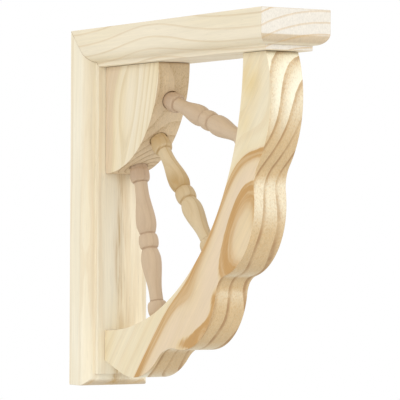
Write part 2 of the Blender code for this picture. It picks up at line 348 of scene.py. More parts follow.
class Graph:
    """Adds and links the nodes of one tree with short calls."""

    def __init__(self, tree):
        self.tree = tree

    def feed(self, socket, value):
        if isinstance(value, Value):
            self.tree.links.new(value.socket, socket)
        else:
            socket.default_value = value

    def add(self, kind, inputs=None, **settings):
        """A new node with its settings made and its inputs fed."""
        node = self.tree.nodes.new(kind)
        for key, value in settings.items():
            setattr(node, key, value)
        for key, value in (inputs or {}).items():
            self.feed(node.inputs[key], value)
        node.location = (200 * (len(self.tree.nodes) % 12), -220 * (len(self.tree.nodes) // 12))
        return node

    def value(self, kind, inputs=None, output=0, **settings):
        """One output of a new node."""
        return Value(self, self.add(kind, inputs, **settings).outputs[output])

    def values(self, kind, inputs=None, **settings):
        """All outputs of a new node, by name."""
        node = self.add(kind, inputs, **settings)
        return {socket.name: Value(self, socket) for socket in node.outputs}

    def math(self, operation, *numbers):
        return self.value("ShaderNodeMath", dict(enumerate(numbers)), operation=operation)

    def vector(self, operation, *vectors):
        output = "Value" if operation in ("LENGTH", "DOT_PRODUCT") else "Vector"
        inputs = dict(enumerate(vectors))
        return self.value("ShaderNodeVectorMath", inputs, output, operation=operation)

    def ramp(self, value, low, high, start=0.0, end=1.0, kind="SMOOTHSTEP"):
        inputs = {"Value": value, "From Min": low, "From Max": high, "To Min": start, "To Max": end}
        return self.value("ShaderNodeMapRange", inputs, "Result", interpolation_type=kind)

    def mix(self, factor, first, second, blend="MIX"):
        """A colour mixed from two, of which each is a value or plain red, green and blue."""
        first, second = (c if isinstance(c, Value) else (*c, 1) for c in (first, second))
        return self.value("ShaderNodeMix", {0: factor, 6: first, 7: second}, 2, data_type="RGBA",
                          blend_type=blend)

    def noise(self, vector, scale, detail=2.0, roughness=0.5):
        """Even noise about a half, on a vector first stretched by three scales."""
        inputs = {"Vector": self.vector("MULTIPLY", vector, scale), "Scale": 1.0, "Detail": detail,
                  "Roughness": roughness}
        return self.value("ShaderNodeTexNoise", inputs)

    def bell(self, value):
        """One in the middle, falling off to nothing on both sides."""
        return self.math("EXPONENT", value * value * -1.0)


def new_group(name, inputs, kind="ShaderNodeTree"):
    """A new node group and its inputs, each given by a number's default or a socket's kind."""
    tree = bpy.data.node_groups.new(name, kind)
    for label, given in inputs.items():
        plain = isinstance(given, float)
        socket_type = "NodeSocketFloat" if plain else given
        socket = tree.interface.new_socket(label, in_out="INPUT", socket_type=socket_type)
        if plain:
            socket.default_value = given
    graph = Graph(tree)
    return graph, graph.values("NodeGroupInput")


def closed_group(graph, outputs, socket_type="NodeSocketFloat"):
    """Gives a node group its named outputs and returns its tree."""
    for label in outputs:
        graph.tree.interface.new_socket(label, in_out="OUTPUT", socket_type=socket_type)
    graph.add("NodeGroupOutput", outputs)
    return graph.tree


def shared_group(name, build):
    """A node group by name, built the first time it is asked for."""
    return bpy.data.node_groups.get(name) or build(name)


def grouped(graph, build, name, inputs):
    """Places a shared node group and returns its outputs."""
    return graph.values("ShaderNodeGroup", inputs, node_tree=shared_group(name, build))


def grain_swell_group(name):
    """How far a hidden knot lifts the rings near it."""
    inputs = {"Vector": VECTOR, "Centre": VECTOR, "Radius": 0.05, "Lift": 0.01}
    graph, given = new_group(name, inputs)
    offset = graph.vector("SUBTRACT", given["Vector"], given["Centre"])
    in_face = graph.vector("MULTIPLY", offset, (0, 1, 1))
    fall = graph.bell(graph.vector("LENGTH", in_face) / given["Radius"])
    return closed_group(graph, {"Lift": fall * given["Lift"]})


def growth_rings_group(name):
    """Rings about the pith: the dark late wood of each, and a tone of its own."""
    inputs = {"Vector": VECTOR, "Ring Width": 0.008, "First Ring": 0.05, "Late Share": 0.3,
              "Wander": 0.002, "Lift": 0.0, "Bold Within": 1.0, "Faint": 1.0, "Skew": 0.0,
              "Golden Within": 0.0}
    graph, given = new_group(name, inputs)
    place = given["Vector"]
    from_pith = graph.vector("LENGTH", graph.vector("MULTIPLY", place, (1, 1, 0)))
    bend = (graph.noise(place, (22, 22, 7), 2.0) - 0.5) * given["Wander"]
    fray = (graph.noise(place, (160, 160, 30), 3.0, 0.6) - 0.5) * 0.0009
    radius = from_pith + bend + fray - given["Lift"]
    count = (radius - given["First Ring"]) / given["Ring Width"]
    part = graph.math("FRACT", count)
    start = 1.0 - given["Late Share"]
    rise = graph.ramp(part, start, start + given["Late Share"] * 0.6)
    fall = graph.ramp(part, 0.965, 1.0, 1.0, 0.0)
    season = graph.ramp(part, 0.1, 0.9)
    near = radius - given["Golden Within"]
    inner = graph.ramp(near, -0.0006, 0.0, 0.72, 0.0)
    parts = graph.values("ShaderNodeSeparateXYZ", {0: place})
    along = graph.value("ShaderNodeCombineXYZ", {"X": radius, "Y": parts["Y"], "Z": parts["Z"]})
    veins = graph.ramp(graph.noise(along, (1000, 24, 12), 3.0, 0.6), 0.32, 0.66)
    edge = radius - given["Bold Within"] + graph.math("MINIMUM", parts["Y"], 0.0) * given["Skew"]
    strength = graph.ramp(edge, 0.0, 0.004, 1.0, given["Faint"]) * graph.ramp(near, -0.0085, -0.006)
    uneven = graph.ramp(graph.noise(place, (60, 60, 45), 2.0), 0.35, 0.60, 0.4, 1.1)
    late = rise * fall * strength * (veins * 0.6 + 0.58)
    tone = graph.value("ShaderNodeTexWhiteNoise", {"W": graph.math("FLOOR", count)}, "Value",
                       noise_dimensions="1D")
    return closed_group(graph, {
        "Late Wood": graph.math("MINIMUM", late, 1.0),
        "Ring Tone": tone * (strength * graph.ramp(near, -0.0008, 0.0)),
        "Heart": graph.ramp(edge, -0.0006, 0.0006, 1.0, 0.0),
        "Season": season * strength,
        "Golden": graph.math("MAXIMUM", season, inner),
        "Thin Line": graph.ramp(part, 0.70, 0.91) * (fall * uneven),
    })


def wood_fibre_group(name):
    """Fine streaks along the stem, short dark flecks and the height of the open fibres."""
    graph, given = new_group(name, {"Vector": VECTOR})
    place = given["Vector"]
    broad = graph.noise(place, (420, 420, 14), 3.0, 0.6)
    fine = graph.noise(place, (1500, 1500, 60), 2.0, 0.6)
    flecks = graph.ramp(graph.noise(place, (900, 900, 90), 1.0), 0.66, 0.78)
    streaks = broad * 0.65 + fine * 0.35
    return closed_group(graph, {"Streaks": streaks, "Flecks": flecks, "Height": fine})


def end_grain_group(name):
    """Where the surface cuts across the fibres, where it does so squarely, and where it slants."""
    inputs = {"Normal": VECTOR, "Stem": VECTOR, "Square From": 0.5, "Square To": 0.9}
    graph, given = new_group(name, inputs)
    along = graph.math("ABSOLUTE", graph.vector("DOT_PRODUCT", given["Normal"], given["Stem"]))
    sides = graph.values("ShaderNodeSeparateXYZ", {0: graph.vector("ABSOLUTE", given["Normal"])})
    straight = graph.math("MAXIMUM", graph.math("MAXIMUM", sides["X"], sides["Y"]), sides["Z"])
    return closed_group(graph, {
        "End": graph.ramp(along, 0.25, 0.70),
        "Square": graph.ramp(along, given["Square From"], given["Square To"]),
        "Routed": graph.ramp(straight, 0.80, 0.99, 1.0, 0.0),
    })


def saw_marks_group(name):
    """Marks, fuzz and pits that a bandsaw leaves on edges sawn through the thickness."""
    graph, given = new_group(name, {"Vector": VECTOR, "Normal": VECTOR})
    place = given["Vector"]
    facing = graph.math("ABSOLUTE", graph.vector("DOT_PRODUCT", given["Normal"], (1, 0, 0)))
    marks = graph.noise(place, (25, 620, 620), 2.0, 0.55)
    fuzz = graph.noise(place, (1100, 520, 520), 3.0, 0.7)
    return closed_group(graph, {
        "Mask": graph.ramp(facing, 0.35, 0.75, 1.0, 0.0),
        "Fuzz": fuzz,
        "Pits": graph.ramp(graph.noise(place, (1000, 600, 600), 1.0), 0.50, 0.66),
        "Height": marks * 0.6 + fuzz * 0.4,
    })


def resin_streak_group(name):
    """A brown streak that wavers along the board, broken into fine dark splits."""
    inputs = {"Vector": VECTOR, "Across": 0.0, "Sway": 0.002, "Period": 0.1, "Phase": 0.0,
              "Width": 0.002}
    graph, given = new_group(name, inputs)
    parts = graph.values("ShaderNodeSeparateXYZ", {0: given["Vector"]})
    turns = (parts["Z"] - given["Phase"]) / given["Period"]
    middle = given["Across"] + graph.math("COSINE", turns * (2 * math.pi)) * given["Sway"]
    away = (parts["X"] - middle) / given["Width"]
    fall = graph.bell(away)
    spread = graph.bell(graph.math("MINIMUM", away, away * 0.16))
    broad = graph.noise(given["Vector"], (300, 300, 16), 3.0, 0.6)
    fine = graph.noise(given["Vector"], (1100, 1100, 28), 3.0, 0.6)
    return closed_group(graph, {
        "Stain": (fall * 0.30 + spread * 0.90) * graph.ramp(broad, 0.35, 0.62, 0.35, 1.0),
        "Splits": fall * graph.ramp(fine, 0.52, 0.60),
    })


def wood_material(name, stem, rings, wood, streak=None, resin=None, stains=(), joint=None,
                  turned=False):
    """Bare wood cut from a stem whose rings run through the piece."""
    material = bpy.data.materials.new(name)
    material.use_nodes = True
    graph = Graph(material.node_tree)
    coordinates = graph.values("ShaderNodeTexCoord")
    place, normal = coordinates["Object"], coordinates["Normal"]
    inputs = {"Vector": place, "Location": stem.pith, "Rotation": (stem.lean, 0, 0)}
    in_stem = graph.value("ShaderNodeMapping", inputs, vector_type="TEXTURE")

    def swelling(swell):
        centre = (0, swell.across, swell.along)
        inputs = {"Vector": in_stem, "Centre": centre, "Radius": swell.radius, "Lift": swell.lift}
        return grouped(graph, grain_swell_group, "Grain Swell", inputs)["Lift"]

    lift = 0.0
    inputs = titled(rings._asdict())
    for swell in inputs.pop("Swells"):
        lift = swelling(swell) + lift
    inputs.update({"Vector": in_stem, "Lift": lift})
    growth = grouped(graph, growth_rings_group, "Growth Rings", inputs)
    fibre = grouped(graph, wood_fibre_group, "Wood Fibre", {"Vector": in_stem})
    axis = (0, -math.sin(stem.lean), math.cos(stem.lean))
    inputs = {"Normal": normal, "Stem": axis, "Square From": wood.square[0],
              "Square To": wood.square[1]}
    grain = grouped(graph, end_grain_group, "End Grain", inputs)
    saw = grouped(graph, saw_marks_group, "Saw Marks", {"Vector": place, "Normal": normal})
    sawn_edge = saw["Mask"] * wood.sawn
    cut = graph.math("MAXIMUM", sawn_edge, grain["End"] * wood.cut_end)
    calm = 1.0 - grain["Square"] * (0.4 * wood.sawn)
    golden = growth["Golden"] * calm * (0.9 * wood.sawn)
    cut_line = saw["Pits"] * (growth["Golden"] * 0.30 + 0.06) + growth["Season"] ** 3.0 * 0.14
    cloud = graph.ramp(graph.noise(in_stem, (30, 30, 10), 2.0), 0.40, 0.66) + growth["Ring Tone"]
    contrast = graph.ramp(grain["End"], 0.0, 1.0, wood.side_contrast, wood.end_contrast, "LINEAR")
    inputs = {0: sawn_edge, 2: growth["Late Wood"], 3: growth["Thin Line"] * calm}
    drawn = graph.value("ShaderNodeMix", inputs, data_type="FLOAT")
    layers = [
        (cloud * wood.clouds, wood.tint),
        (growth["Season"] * wood.season, wood.tint),
        (grain["Routed"] * wood.routed, wood.tint),
        (cut * CUT_TINT, wood.cut),
        (grain["Square"] * cut * (1.0 - golden), wood.pale),
        (cut_line * sawn_edge, wood.line),
        (drawn * contrast, graph.mix(cut * CUT_LINE, wood.line, wood.saw_line)),
    ]
    if streak:
        inputs = {"Vector": place, **titled(streak._asdict())}
        mark = grouped(graph, resin_streak_group, "Resin Streak", inputs)
        layers += [(mark["Stain"] * RESIN_STAIN, resin), (mark["Splits"] * RESIN_SPLITS, resin)]
    for stain in stains:
        spots = graph.noise(in_stem, (130, 130, 40), 2.0)
        layers.append((swelling(stain) * graph.ramp(spots, 0.35, 0.60, 0.55, 1.0), wood.tint))
    # Painted shade in the spindles' grooves and on the bead by the block, stored by the turned
    # outline
    if turned:
        groove = graph.value("ShaderNodeAttribute", output="Fac", attribute_name="turned_shade")
        layers.append((groove, wood.line))
    # Painted shade just below the top board, reaching further on the sawn faces under its overhang
    if joint:
        joint_height, colour = joint
        below = joint_height - graph.values("ShaderNodeSeparateXYZ", {0: place})["Z"]
        reach = cut * JOINT_SHADE_REACH[1] + JOINT_SHADE_REACH[0]
        dark = graph.ramp(below / reach, 0.0, 1.0, JOINT_SHADE, 0.0)
        layers.append((dark, colour))
    body = graph.mix(growth["Heart"], wood.sap, wood.heart)
    for mask, colour in layers:
        body = graph.mix(mask, body, colour)
    shade = graph.ramp(fibre["Streaks"], 0.3, 0.7, 0.93, 1.05, "LINEAR")
    shade = shade - fibre["Flecks"] * FLECK_SHADE + (saw["Fuzz"] - 0.5) * FUZZ_SHADE * cut
    smooth, coarse = wood.roughness - 0.05, wood.roughness + 0.06
    height = fibre["Height"] * FIBRE_RELIEF + saw["Height"] * cut * SAW_RELIEF
    height = height - growth["Late Wood"] * RING_RELIEF
    shader = material.node_tree.nodes["Principled BSDF"].inputs
    graph.feed(shader["Base Color"], graph.mix(1.0, body, shade, "MULTIPLY"))
    rough = graph.ramp(fibre["Streaks"], 0.3, 0.7, smooth, coarse)
    graph.feed(shader["Roughness"], rough + cut * 0.1)
    graph.feed(shader["Specular IOR Level"], 0.35)
    bump = {"Height": height, "Strength": 1.0, "Distance": 1.0}
    graph.feed(shader["Normal"], graph.value("ShaderNodeBump", bump))
    return material


def direction(degrees):
    """Unit direction in the side view, at an angle below the top board."""
    turn = math.radians(degrees)
    return Vector((math.cos(turn), -math.sin(turn)))


def arc(centre, radius, start, end, step):
    """Points along an arc, both ends included."""
    count = max(2, math.ceil(abs(end - start) / step))
    turns = [start + (end - start) * i / count for i in range(count + 1)]
    return [centre + radius * Vector((math.cos(t), math.sin(t))) for t in turns]


def bearing(origin, target):
    """Angle of the line from one point of the side view to another."""
    return math.atan2(target.y - origin.y, target.x - origin.x)


def inner_corner(boards):
    """Where the faces of the two boards meet, in the side view."""
    return Vector((boards.thickness, boards.height - boards.thickness))


def side_matrix(boards):
    """Places an outline drawn in the side view on the bracket's middle plane."""
    turn = Matrix(((0, 0, -1, 0), (-1, 0, 0, 0), (0, 1, 0, 0), (0, 0, 0, 1)))
    return Matrix.Translation((0, 0, -boards.height / 2)) @ turn


def side_point(boards, point):
    """The place on the middle plane of a point of the side view."""
    return Vector((0, -point[0], point[1] - boards.height / 2))


def plain_mesh(source, name):
    """The object's evaluated shape as a new object at the origin, with the source removed."""
    bpy.context.view_layer.update()
    evaluated = source.evaluated_get(bpy.context.evaluated_depsgraph_get())
    mesh = bpy.data.meshes.new_from_object(evaluated)
    mesh.transform(source.matrix_world)
    bpy.data.objects.remove(source)
    mesh.name = name
    piece = bpy.data.objects.new(name, mesh)
    bpy.context.scene.collection.objects.link(piece)
    return piece


def shade_round(piece, degrees=28.0):
    """Smooth shading, with true edges kept sharp and broad faces kept even."""
    name = piece.name
    piece.data.shade_smooth()
    piece.data.set_sharp_from_angle(angle=math.radians(degrees))
    weighted = piece.modifiers.new("even", "WEIGHTED_NORMAL")
    weighted.weight = 100
    weighted.keep_sharp = True
    return plain_mesh(piece, name)


def linked_object(name, data):
    """A new object in the scene."""
    made = bpy.data.objects.new(name, data)
    bpy.context.scene.collection.objects.link(made)
    return made


def mesh_from(shell, name):
    """Turns a bmesh into an object and frees it."""
    mesh = bpy.data.meshes.new(name)
    shell.to_mesh(mesh)
    shell.free()
    return linked_object(name, mesh)


def closed_skin(rings):
    """A closed shell through rings of corners, with a flat face at each end, and its corners."""
    shell = bmesh.new()
    rings = [[shell.verts.new(corner) for corner in ring] for ring in rings]
    shell.faces.new(rings[0])
    shell.faces.new(rings[-1])
    for first, second in zip(rings, rings[1:]):
        for i in range(len(first)):
            j = (i + 1) % len(first)
            shell.faces.new((first[i], first[j], second[j], second[i]))
    bmesh.ops.recalc_face_normals(shell, faces=shell.faces)
    return shell, rings


def eased_solid(shell, name, width, glued=()):
    """A solid whose true edges are rounded a little, apart from those round a glued joint."""
    mark = shell.edges.layers.float.new("bevel_weight_edge")
    for edge in shell.edges:
        sharp = edge.calc_face_angle() > TRUE_EDGE
        joint = edge.verts[0] in glued and edge.verts[1] in glued
        edge[mark] = 1.0 if sharp and not joint else 0.0
    blank = mesh_from(shell, name + "_blank")
    bevel = blank.modifiers.new("eased", "BEVEL")
    bevel.width = width
    bevel.segments = 2
    bevel.limit_method = "WEIGHT"
    bevel.use_clamp_overlap = True
    return plain_mesh(blank, name)


def take_place(piece, node, material):
    """Gives a finished piece its wood and puts it in the place of its CAD node."""
    low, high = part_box(node)
    corners = [Vector(c) for c in piece.bound_box]
    mine = (Vector(map(min, *corners)), Vector(map(max, *corners)))
    if (mine[0] - low).length > FIT or (mine[1] - high).length > FIT:
        raise RuntimeError(f"{piece.name} is not where {node} is: {mine} and {low}, {high}")
    piece.data.materials.clear()
    piece.data.materials.append(material)
    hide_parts(node)
    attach(piece, BODY)


def moulding(boards):
    """The moulded edge as pairs of inset and depth, from the plain back to the face."""
    flat = boards.thickness - boards.ovolo - boards.step
    centre = Vector((boards.ovolo, flat))
    quarter = arc(centre, boards.ovolo, math.pi, math.pi / 2, math.pi / 2 / boards.ovolo_steps)
    inset = boards.ovolo + boards.quirk
    ledge = [Vector((inset, flat + boards.ovolo)), Vector((inset, boards.thickness))]
    return [Vector((0, 0))] + quarter + ledge


def moulded_board(name, run, matrix, boards, sawn):
    """A board lofted through the levels of its moulding, mitred at the end away from its start."""
    mitre = sawn.gap * math.sqrt(0.5)
    rings = []
    for inset, depth in moulding(boards):
        side = boards.width / 2 - inset
        far = run - depth - mitre
        corners = ((-side, inset), (side, inset), (side, far), (-side, far))
        rings.append([matrix @ Vector((x, depth, along)) for x, along in corners])
    shell, rings = closed_skin(rings)
    glued = {corner for ring in rings for corner in ring[2:]}
    return shade_round(eased_solid(shell, name, sawn.ease, glued))


def flat_solid(name, outline, sawn, matrix):
    """A flat outline given the stock's thickness, with its edges eased."""
    half = sawn.stock / 2
    sheets = [[matrix @ Vector((*point, depth)) for point in outline] for depth in (-half, half)]
    return eased_solid(closed_skin(sheets)[0], name, sawn.ease)


def spindle_ends(boards, sawn, angles):
    """Where a spindle's axis leaves the block and where it meets the brace."""
    block_end = inner_corner(boards) + direction(angles[0]) * sawn.block_radius
    return side_point(boards, block_end), side_point(boards, inner_point(boards, sawn, angles[1]))


def stood_on(foot, line):
    """Moves a shape from the origin to a foot, with its Z axis along a line."""
    return Matrix.Translation(foot) @ line.to_track_quat("Z", "Y").to_matrix().to_4x4()


def drill_bit(name, profile, matrix):
    """A closed round solid through pairs of height along Z and radius."""
    turns = [2 * math.pi * i / BIT_SIDES for i in range(BIT_SIDES)]
    circle = [(math.cos(turn), math.sin(turn)) for turn in turns]
    rings = [[matrix @ Vector((radius * x, radius * y, height)) for x, y in circle]
             for height, radius in profile]
    return mesh_from(closed_skin(rings)[0], name)


def drill_spindle_holes(solid, name, in_block):
    """Drills the three round holes that the spindles' plain ends sit in."""
    scene = bpy.context.scene
    boards, sawn, turned = scene.corbel_boards, scene.corbel_sawn, scene.corbel_spindles
    radius = turned.pin_radius + sawn.gap
    overshoot = 2 * radius
    depth = (turned.pin_in_block if in_block else turned.pin_in_brace) + sawn.gap
    outside = radius + sawn.rim + overshoot
    profile = ((-overshoot, outside), (sawn.rim, radius), (depth, radius))
    bits = []
    for angles in SPINDLES.values():
        top, foot = spindle_ends(boards, sawn, angles)
        mouth, other = (top, foot) if in_block else (foot, top)
        bit = drill_bit(name + "_bit", profile, stood_on(mouth, mouth - other))
        bore = solid.modifiers.new("bore", "BOOLEAN")
        bore.object = bit
        bore.operation = "DIFFERENCE"
        bits.append(bit)
    drilled = plain_mesh(solid, name)
    for bit in bits:
        bpy.data.objects.remove(bit)
    return shade_round(drilled)


def hollow_centre(first, second, radius):
    """Centre of the hollow of a given radius that touches two neighbouring lobes from outside."""
    reach_a = first[1] + radius
    reach_b = second[1] + radius
    across = second[0] - first[0]
    apart = across.length
    along = (reach_a ** 2 - reach_b ** 2 + apart ** 2) / (2 * apart)
    out = math.sqrt(max(reach_a ** 2 - along ** 2, 0))
    unit = across / apart
    return first[0] + unit * along + Vector((-unit.y, unit.x)) * out


def scallops(sawn):
    """The outer edge about the inner corner, on a scale where the brace's reach is about one."""
    lobes = [(direction(turn) * distance, radius) for distance, turn, radius in LOBES]
    points = []
    start = math.asin(-lobes[0][0].y / lobes[0][1])
    for lobe, following, radius in zip(lobes, lobes[1:], HOLLOWS):
        hollow = hollow_centre(lobe, following, radius)
        points += arc(*lobe, start, bearing(lobe[0], hollow), sawn.arc_step * 2)
        turns = [bearing(hollow, centre) % (2 * math.pi) for centre in (lobe[0], following[0])]
        points += arc(hollow, radius, *turns, sawn.arc_step * 3)[1:-1]
        start = bearing(following[0], hollow)
    points += arc(*lobes[-1], start, -math.pi / 2 - sawn.tail_slope, sawn.arc_step * 2)
    lowest = points[-1]
    points.append(Vector((0, lowest.y + lowest.x * math.tan(sawn.tail_slope))))
    return points


def outer_edge(boards, sawn):
    """The scalloped edge at its real size, between its feet on the two boards."""
    points = scallops(sawn)
    across = (boards.depth - boards.thickness - sawn.top_margin) / points[0].x
    down = (boards.height - boards.thickness - sawn.foot_margin) / -points[-1].y
    edge = [Vector((p.x * across, p.y * down)) for p in points]
    edge[0].y = -sawn.gap
    edge[-1].x = sawn.gap
    return [inner_corner(boards) + p for p in edge]


def inner_point(boards, sawn, degrees):
    """Point of the brace's inner edge in a given direction from the inner corner."""
    unit = direction(degrees)
    out = boards.depth - boards.thickness - sawn.top_margin - sawn.top_foot
    down = boards.height - boards.thickness - sawn.foot_margin - sawn.wall_foot
    return inner_corner(boards) + unit / math.hypot(unit.x / out, unit.y / down)


def inner_edge(boards, sawn):
    """The inner edge from the wall board back up to the top board."""
    count = math.ceil(math.pi / 2 / sawn.arc_step)
    points = [inner_point(boards, sawn, 90 * (1 - i / count)) for i in range(count + 1)]
    points[0].x = boards.thickness + sawn.gap
    points[-1].y = boards.height - boards.thickness - sawn.gap
    return points


def turned_spindle_tree(name):
    """Geometry nodes that turn a spindle about Z from its named sizes, with its foot at zero."""
    inputs = {"Geometry": "NodeSocketGeometry", "Length": 0.1}
    inputs.update(titled(dict.fromkeys(SpindleSizes.__annotations__, 0.01)))
    inputs.update({"Sides": "NodeSocketInt", "Material": "NodeSocketMaterial"})
    graph, given = new_group(name, inputs, "GeometryNodeTree")
    start = graph.value("ShaderNodeCombineXYZ", {"Z": given["Pin In Brace"] * -1.0})
    end = graph.value("ShaderNodeCombineXYZ", {"Z": given["Length"] + given["Pin In Block"]})
    line = graph.value("GeometryNodeCurvePrimitiveLine", {"Start": start, "End": end})
    inputs = {"Curve": line, "Length": given["Spacing"]}
    fine = graph.value("GeometryNodeResampleCurve", inputs, mode="LENGTH")
    place = graph.value("GeometryNodeInputPosition")
    height = graph.values("ShaderNodeSeparateXYZ", {0: place})["Z"]
    radius, shade = turned_outline(graph, given, height)
    # Stores the painted shade of the grooves and the block-end bead for the material
    inputs = {"Geometry": fine, "Name": "turned_shade", "Value": shade}
    marked = graph.value("GeometryNodeStoreNamedAttribute", inputs, data_type="FLOAT",
                         domain="POINT")
    inputs = {"Resolution": given["Sides"], "Radius": 1.0}
    circle = graph.value("GeometryNodeCurvePrimitiveCircle", inputs)
    inputs = {"Curve": marked, "Profile Curve": circle, "Scale": radius, "Fill Caps": True}
    skin = graph.value("GeometryNodeCurveToMesh", inputs)
    real = graph.value("GeometryNodeRealizeInstances", {0: skin})
    inputs = {"Geometry": real, "Material": given["Material"]}
    wooden = graph.value("GeometryNodeSetMaterial", inputs)
    return closed_group(graph, {"Geometry": wooden}, "NodeSocketGeometry")


def turned_outline(graph, given, height):
    """Radius of the turned outline (collar, grooves, vases, necks, beads and pins) and painted
    shade in its grooves and on the bead at the block end.
    """
    bead_place = (given["Length"] - (given["Bead To Block"] + given["Bead To Brace"])) * 0.5
    middle = given["Bead To Brace"] + bead_place
    away = graph.math("ABSOLUTE", height - middle)
    quarter = math.pi / 2

    def half_round(ratio):
        return graph.math("SQRT", graph.math("MAXIMUM", 1.0 - ratio * ratio, 0.0))

    def between(low, high, factor):
        return low + (high - low) * factor

    def choose(place, beyond, within):
        past = graph.math("GREATER_THAN", away, place)
        inputs = {"Switch": past, "False": within, "True": beyond}
        return graph.value("GeometryNodeSwitch", inputs, input_type="FLOAT")

    round_collar = half_round(away / given["Collar Half"])
    collar = between(given["Groove Radius"], given["Collar Radius"], round_collar)
    vase_start = given["Collar Half"] + given["Groove Half"] * 2.0
    widest = vase_start + given["Vase Shoulder"]
    bead_start = bead_place - given["Bead Half"]
    rise = graph.math("SINE", graph.ramp(away, vase_start, widest, 0.0, quarter, "LINEAR"))
    shoulder = between(given["Groove Radius"], given["Vase Radius"], rise)
    vase_end = bead_start - given["Neck Length"]
    drop = graph.math("COSINE", graph.ramp(away, widest, vase_end, 0.0, quarter, "LINEAR"))
    drop = graph.math("MAXIMUM", drop, 0.0) ** given["Vase Taper"]
    taper = between(given["Neck Radius"], given["Vase Radius"], drop)
    flare = graph.ramp(away, bead_start - FLARE, bead_start)
    taper = taper + (given["Bead Root"] - given["Neck Radius"]) * flare
    past = away - bead_place
    sunk = graph.ramp(past, *SUNK_END, given["Bead Outer"], given["Pin Radius"], "LINEAR")
    root = choose(bead_place, sunk, given["Bead Root"])
    bead = between(root, given["Bead Radius"], half_round(past / given["Bead Half"]))
    outline = choose(vase_start, shoulder, collar)
    outline = choose(widest, taper, outline)
    outline = choose(bead_start, bead, outline)
    # Painted shade: the bead at the block end and the scored grooves are darkened as if in shadow
    shade = graph.ramp(height - middle - bead_start, 0.0, 0.003, 0.0, BEAD_SHADE)
    for place in (given["Collar Half"] + given["Groove Half"], bead_start):
        aside = graph.math("ABSOLUTE", away - place)
        cut = graph.ramp(aside, 0.0, given["Score Half"], given["Score"], 0.0, "LINEAR")
        outline = outline - cut
        dark = graph.ramp(aside / given["Score Half"], 0.2, 1.9, GROOVE_SHADE, 0.0)
        shade = graph.math("MAXIMUM", shade, dark)
    return outline, shade


def turned_spindle(name, top, foot, material):
    """One spindle turned by the node tree and stood on the line from the brace to the block."""
    turned = bpy.context.scene.corbel_spindles
    blank = linked_object(name + "_blank", bpy.data.meshes.new(name + "_blank"))
    lathe = blank.modifiers.new("turned", "NODES")
    lathe.node_group = shared_group("Turned Spindle", turned_spindle_tree)
    values = titled({key: getattr(turned, key) for key in SpindleSizes.__annotations__})
    values.update({"Length": (top - foot).length, "Material": material})
    for item in lathe.node_group.interface.items_tree:
        if item.in_out == "INPUT" and item.name in values:
            lathe[item.identifier] = values[item.name]
    blank.matrix_world = stood_on(foot, top - foot)
    spindle = plain_mesh(blank, name)
    shell = bmesh.new()
    shell.from_mesh(spindle.data)
    bmesh.ops.remove_doubles(shell, verts=shell.verts, dist=SAME_PLACE)
    bmesh.ops.recalc_face_normals(shell, faces=shell.faces)
    shell.to_mesh(spindle.data)
    shell.free()
    return shade_round(spindle, 40.0)


class CORBEL_OT_moulded_boards(bpy.types.Operator):
    """Adds the wall board and the top board, mitred together"""

    bl_idname = "corbel.moulded_boards"
    bl_label = "Moulded Boards"

    def execute(self, context):
        boards, colours = context.scene.corbel_boards, context.scene.corbel_colours
        upright = Matrix(((1, 0, 0, 0), (0, -1, 0, 0), (0, 0, 1, -boards.height / 2), (0, 0, 0, 1)))
        level = Matrix(((1, 0, 0, 0), (0, 0, 1, -boards.depth), (0, -1, 0, boards.height / 2),
                        (0, 0, 0, 1)))
        wood = Wood(colours.board, colours.board, colours.board_tint, colours.board_line,
                    colours.board_cut, colours.board_end, 0.34, 0.62, 0.22, cut_end=1.0,
                    routed=0.2, saw_line=colours.board_line)
        paler = wood._replace(sap=colours.wall, heart=colours.wall, side_contrast=0.20)
        rings = Rings(0.0120, 0.0100, 0.30, 0.010)
        stem = Stem((0.060, 0.070, 0.0), 0.012)
        streak = Streak(-0.0006, 0.0016, 0.098, 0.0105, 0.0038)
        finish = wood_material("wall_board_pine", stem, rings, paler, streak, colours.resin)
        self.add_board("wall_board", "wall_board_pine", boards.height, upright, finish)
        rings = Rings(0.0092, 0.1160, 0.22, 0.002, (Swell(0.122, 0.138, 0.070, 0.0105),))
        stem = Stem((0.026, 0.0, 0.0175), math.pi / 2)
        finish = wood_material("top_board_pine", stem, rings, wood)
        self.add_board("top_board", "top_board_pine", boards.depth, level, finish)
        return {"FINISHED"}

    @staticmethod
    def add_board(node, slot, run, matrix, material):
        scene = bpy.context.scene
        sizes = (scene.corbel_boards, scene.corbel_sawn)
        board = moulded_board(node + "_finished", run, matrix, *sizes)
        take_place(board, node, material)


def add_sawn_piece(node, slot, outline, stem, rings, wood, stains=()):
    """Adds a piece sawn to an outline and drilled for the spindles, with painted shade below the
    top board.
    """
    scene = bpy.context.scene
    boards, sawn = scene.corbel_boards, scene.corbel_sawn
    solid = flat_solid(node + "_sawn", outline, sawn, side_matrix(boards))
    piece = drill_spindle_holes(solid, node + "_finished", node == "corner_block")
    # Height of the top board's underside and the colour of the painted shade below it
    joint = (boards.height / 2 - boards.thickness, scene.corbel_colours.stain)
    finish = wood_material(slot, stem, rings, wood, stains=stains, joint=joint)
    take_place(piece, node, finish)


class CORBEL_OT_corner_block(bpy.types.Operator):
    """Adds the quarter-round block in the inner corner, drilled for the spindles"""

    bl_idname = "corbel.corner_block"
    bl_label = "Corner Block"

    def execute(self, context):
        boards, sawn = context.scene.corbel_boards, context.scene.corbel_sawn
        colours = context.scene.corbel_colours
        corner = inner_corner(boards)
        start = math.asin(sawn.gap / sawn.block_radius)
        curve = arc(corner, sawn.block_radius, -start, start - math.pi / 2, sawn.arc_step)
        outline = curve + [corner + Vector((sawn.gap, -sawn.gap))]
        wood = Wood(colours.block_sap, colours.block_heart, colours.brace_tint, colours.block_line,
                    colours.block_cut, colours.block_cut, 0.16, 0.60, 0.20, sawn=1.0, season=0.22)
        stem = Stem((0.0114, -0.0729, 0.0775), math.atan(0.25))
        swells = (Swell(0.034, 0.011, 0.038, 0.008),)
        rings = Rings(0.0054, 0.0315, 0.40, 0.0012, swells, 0.0315, 0.4, 0.5)
        add_sawn_piece("corner_block", "corner_block_pine", outline, stem, rings, wood)
        return {"FINISHED"}


